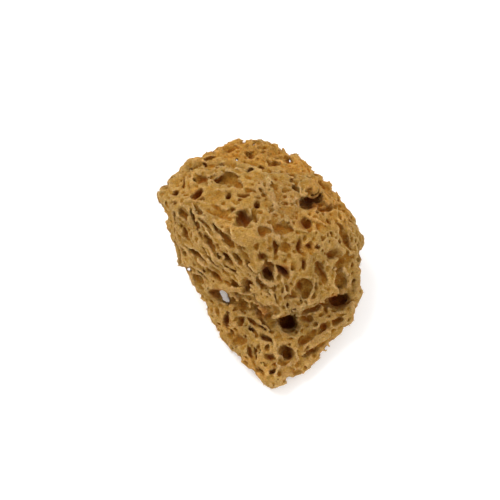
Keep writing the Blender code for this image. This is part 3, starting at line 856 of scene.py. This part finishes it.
def add_fibres(carving, pores, points, triangles):
    """Grows short bent blades out of the surface, in three colours, each three triangles."""
    dice = np.random.default_rng(SEED + 1)
    roots, facings = random_places(points, triangles, TUFTS, dice)
    fuzzy = spots_at(roots, FUZZY_SPOTS)
    fuzzy[facings @ np.array(TOWARDS_EYE) < 0] = 0.4
    kept = dice.random(len(roots)) < FIBRES_SHARE_SMOOTH + (1 - FIBRES_SHARE_SMOOTH) * fuzzy
    kept &= roots[:, 2] > LOWEST_FIBRE
    kept &= spots_at(roots, PAINTED_SHADE_SPOTS) < 0.3
    roots, facings = roots[kept], facings[kept]
    lean = dice.normal(0, 1, roots.shape)
    lean -= facings * np.sum(lean * facings, 1)[:, None]
    lean /= np.linalg.norm(lean, axis=1)[:, None] + 1e-6
    lean += facings * dice.uniform(0.1, 1.4, (len(roots), 1))
    lean /= np.linalg.norm(lean, axis=1)[:, None]
    roots, facings, lean = (np.repeat(values, FIBRES_IN_TUFT, 0) for values in (roots, facings, lean))
    count = len(roots)
    shift = dice.normal(0, TUFT_SPREAD, roots.shape)
    roots = roots + shift - facings * np.sum(shift * facings, 1)[:, None]
    first = lean + dice.normal(0, 0.25, roots.shape)
    first /= np.linalg.norm(first, axis=1)[:, None]
    second = first + dice.normal(0, 0.4, roots.shape)
    second /= np.linalg.norm(second, axis=1)[:, None]
    side = np.cross(first, dice.normal(0, 1, (count, 3)))
    side /= np.linalg.norm(side, axis=1)[:, None] + 1e-6
    length = dice.uniform(*FIBRE_LENGTHS, (count, 1))
    length *= 1 + LONGER_WHERE_RAGGED * spots_at(roots, RAGGED_SPOTS)[:, None]
    half = FIBRE_WIDTH / 2 * dice.uniform(0.7, 1.3, (count, 1))
    start = roots - facings * 0.15
    bend = start + first * length * 0.5
    tip = bend + second * length * 0.5
    corners = np.stack((start - side * half, start + side * half,
                        bend - side * half * 0.8, bend + side * half * 0.8, tip), 1)
    corners[..., 2] = np.maximum(corners[..., 2], 0.05)
    orange = spots_at(roots, ORANGE_SPOTS)
    hollow = hollow_at(pores, carving, roots)
    colour = np.where(hollow + dice.normal(0, 0.06, count) > 0.46, 1, 0)
    colour[dice.random(count) < orange * 0.8] = 2
    blade = np.array(((0, 1, 3), (0, 3, 2), (2, 3, 4)))
    fibres = []
    for number, (name, tint) in enumerate(FIBRE_COLOURS.items()):
        mine = corners[colour == number]
        faces = (blade[None] + (np.arange(len(mine)) * 5)[:, None, None]).reshape(-1, 3)
        mesh = mesh_from(name, mine.reshape(-1, 3), faces)
        material = bpy.data.materials.new(name)
        material.use_nodes = True
        surface = material.node_tree.nodes["Principled BSDF"]
        surface.inputs["Base Color"].default_value = (*tint, 1)
        surface.inputs["Roughness"].default_value = 0.9
        surface.inputs["Specular IOR Level"].default_value = 0.1
        mesh.materials.append(material)
        piece = bpy.data.objects.new(name, mesh)
        bpy.context.scene.collection.objects.link(piece)
        fibres.append(piece)
    return fibres


def add_node(tree, kind, values=None, **settings):
    node = tree.nodes.new(kind)
    for name, value in settings.items():
        setattr(node, name, value)
    for name, value in (values or {}).items():
        node.inputs[name].default_value = value
    return node


def ramp(tree, source, stops, smooth=False):
    """A ramp of colours over a value."""
    node = tree.nodes.new("ShaderNodeValToRGB")
    if smooth:
        node.color_ramp.interpolation = "EASE"
    elements = node.color_ramp.elements
    while len(elements) < len(stops):
        elements.new(0.5)
    for element, (place, colour) in zip(elements, stops):
        element.position = place
        element.color = (*colour, 1)
    tree.links.new(source, node.inputs["Fac"])
    return node.outputs["Color"]


def mixed(tree, kind, share, first, second):
    node = tree.nodes.new("ShaderNodeMix")
    node.data_type = "RGBA"
    node.blend_type = kind
    for value, socket in ((share, node.inputs[0]), (first, node.inputs[6]), (second, node.inputs[7])):
        if isinstance(value, (int, float)):
            socket.default_value = value
        elif isinstance(value, tuple):
            socket.default_value = (*value, 1)
        else:
            tree.links.new(value, socket)
    return node.outputs[2]


def sponge_material():
    material = bpy.data.materials.new("sponge_fibre")
    material.use_nodes = True
    tree = material.node_tree
    surface = tree.nodes["Principled BSDF"]
    links = tree.links
    place = add_node(tree, "ShaderNodeTexCoord").outputs["Object"]

    def noise(size_mm, detail=2, roughness=0.55):
        node = add_node(tree, "ShaderNodeTexNoise",
                        {"Scale": 1000 / size_mm, "Detail": detail, "Roughness": roughness})
        links.new(place, node.inputs["Vector"])
        return node.outputs["Fac"]

    pores = add_node(tree, "ShaderNodeAttribute", attribute_name="pore_depth").outputs["Fac"]
    pits = add_node(tree, "ShaderNodeAttribute", attribute_name="pit_depth").outputs["Fac"]

    # The sponge's own tan to brown, deeper brown down in the pores partly as painted shade, then painted
    # shade that dims the wider pits
    colour = ramp(tree, pores, [(0.26, RIDGE_TAN), (0.50, BODY_BROWN), (0.72, PIT_BROWN_AND_SHADE)])
    painted_pit_shade = ramp(tree, pits, [(0.42, (1, 1, 1)), (0.64, (0.90, 0.76, 0.46)), (0.82, (0.80, 0.47, 0.08))])
    colour = mixed(tree, "MULTIPLY", 1.0, colour, painted_pit_shade)
    # The last tint is painted shade in the deepest pits
    for name, tint in (("orange", ORANGE_TINT), ("grey", GREY_TINT), ("painted_shade", PAINTED_SHADE_TINT)):
        share = add_node(tree, "ShaderNodeAttribute", attribute_name=name).outputs["Fac"]
        colour = mixed(tree, "MULTIPLY", share, colour, tint)
    blotches = ramp(tree, noise(22), [(0.35, (0.86, 0.84, 0.80)), (0.65, (1.10, 1.06, 1.0))])
    colour = mixed(tree, "MULTIPLY", 1.0, colour, blotches)
    mottle = ramp(tree, noise(3.2, 4), [(0.32, (0.80, 0.76, 0.68)), (0.68, (1.14, 1.12, 1.10))])
    colour = mixed(tree, "MULTIPLY", 0.65, colour, mottle)
    speckle = ramp(tree, noise(0.8, 3, 0.7), [(0.34, (0.62, 0.56, 0.48)), (0.62, (1.18, 1.17, 1.15))])
    colour = mixed(tree, "MULTIPLY", 0.8, colour, speckle)
    links.new(colour, surface.inputs["Base Color"])

    fine = noise(0.55, 3, 0.7)
    bump = add_node(tree, "ShaderNodeBump", {"Strength": 1.0, "Distance": 0.0006})
    links.new(fine, bump.inputs["Height"])
    coarse = add_node(tree, "ShaderNodeBump", {"Strength": 0.7, "Distance": 0.0008})
    links.new(noise(1.5, 2, 0.6), coarse.inputs["Height"])
    links.new(bump.outputs["Normal"], coarse.inputs["Normal"])
    links.new(coarse.outputs["Normal"], surface.inputs["Normal"])

    surface.inputs["Roughness"].default_value = 0.92
    surface.inputs["Specular IOR Level"].default_value = 0.06
    surface.inputs["Subsurface Weight"].default_value = 0.4
    surface.inputs["Subsurface Radius"].default_value = (1.0, 0.45, 0.15)
    surface.inputs["Subsurface Scale"].default_value = 0.002
    surface.inputs["Sheen Weight"].default_value = 0.08
    surface.inputs["Sheen Roughness"].default_value = 0.6
    surface.inputs["Sheen Tint"].default_value = (1.0, 0.82, 0.55, 1)
    return material


def add_camera():
    camera = bpy.data.objects.new("camera", bpy.data.cameras.new("camera"))
    bpy.context.scene.collection.objects.link(camera)
    camera.location = EYE * MM
    camera.rotation_euler = (math.radians(90) - EYE_ELEVATION, 0, 0)
    camera.data.sensor_width = SENSOR_WIDTH
    camera.data.lens = SENSOR_WIDTH * EYE_DISTANCE / (FRAME_PIXELS * MM_PER_PIXEL)
    bpy.context.scene.camera = camera


def add_floor():
    mesh = bpy.data.meshes.new("floor")
    half = FLOOR_HALF
    corners = [(-half, -half, 0), (half, -half, 0), (half, half, 0), (-half, half, 0)]
    mesh.from_pydata(corners, [], [(0, 1, 2, 3)])
    floor = bpy.data.objects.new("floor", mesh)
    floor.location.z = -FLOOR_DROP
    bpy.context.scene.collection.objects.link(floor)
    material = bpy.data.materials.new("pale_floor")
    material.use_nodes = True
    surface = material.node_tree.nodes["Principled BSDF"]
    surface.inputs["Base Color"].default_value = (FLOOR_PALE, FLOOR_PALE, FLOOR_PALE, 1)
    surface.inputs["Roughness"].default_value = 0.9
    surface.inputs["Specular IOR Level"].default_value = 0.1
    surface.inputs["Emission Color"].default_value = (1, 1, 1, 1)
    surface.inputs["Emission Strength"].default_value = FLOOR_GLOW
    mesh.materials.append(material)


def add_light(name, place, size, power):
    light = bpy.data.objects.new(name, bpy.data.lights.new(name, "AREA"))
    light.data.shape = "DISK"
    light.data.size = size
    light.data.energy = power
    light.location = place
    light.rotation_euler = (Vector((0, 0, 0.03)) - Vector(place)).to_track_quat("-Z", "Y").to_euler()
    bpy.context.scene.collection.objects.link(light)


def light_the_room():
    world = bpy.data.worlds.new("soft_room")
    bpy.context.scene.world = world
    world.use_nodes = True
    background = world.node_tree.nodes["Background"]
    background.inputs["Color"].default_value = (1, 1, 1, 1)
    background.inputs["Strength"].default_value = ROOM_LIGHT
    for name, place, size, power in LIGHTS:
        add_light(name, place, size, power)
    bpy.context.scene.view_settings.view_transform = "Standard"


sponge, *carved = carve_sponge()
sponge.data.materials.clear()
sponge.data.materials.append(sponge_material())
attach(sponge, "root")
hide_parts("sea_sponge")
for fibres in add_fibres(*carved):
    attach(fibres, "root")
add_floor()
add_camera()
light_the_room()
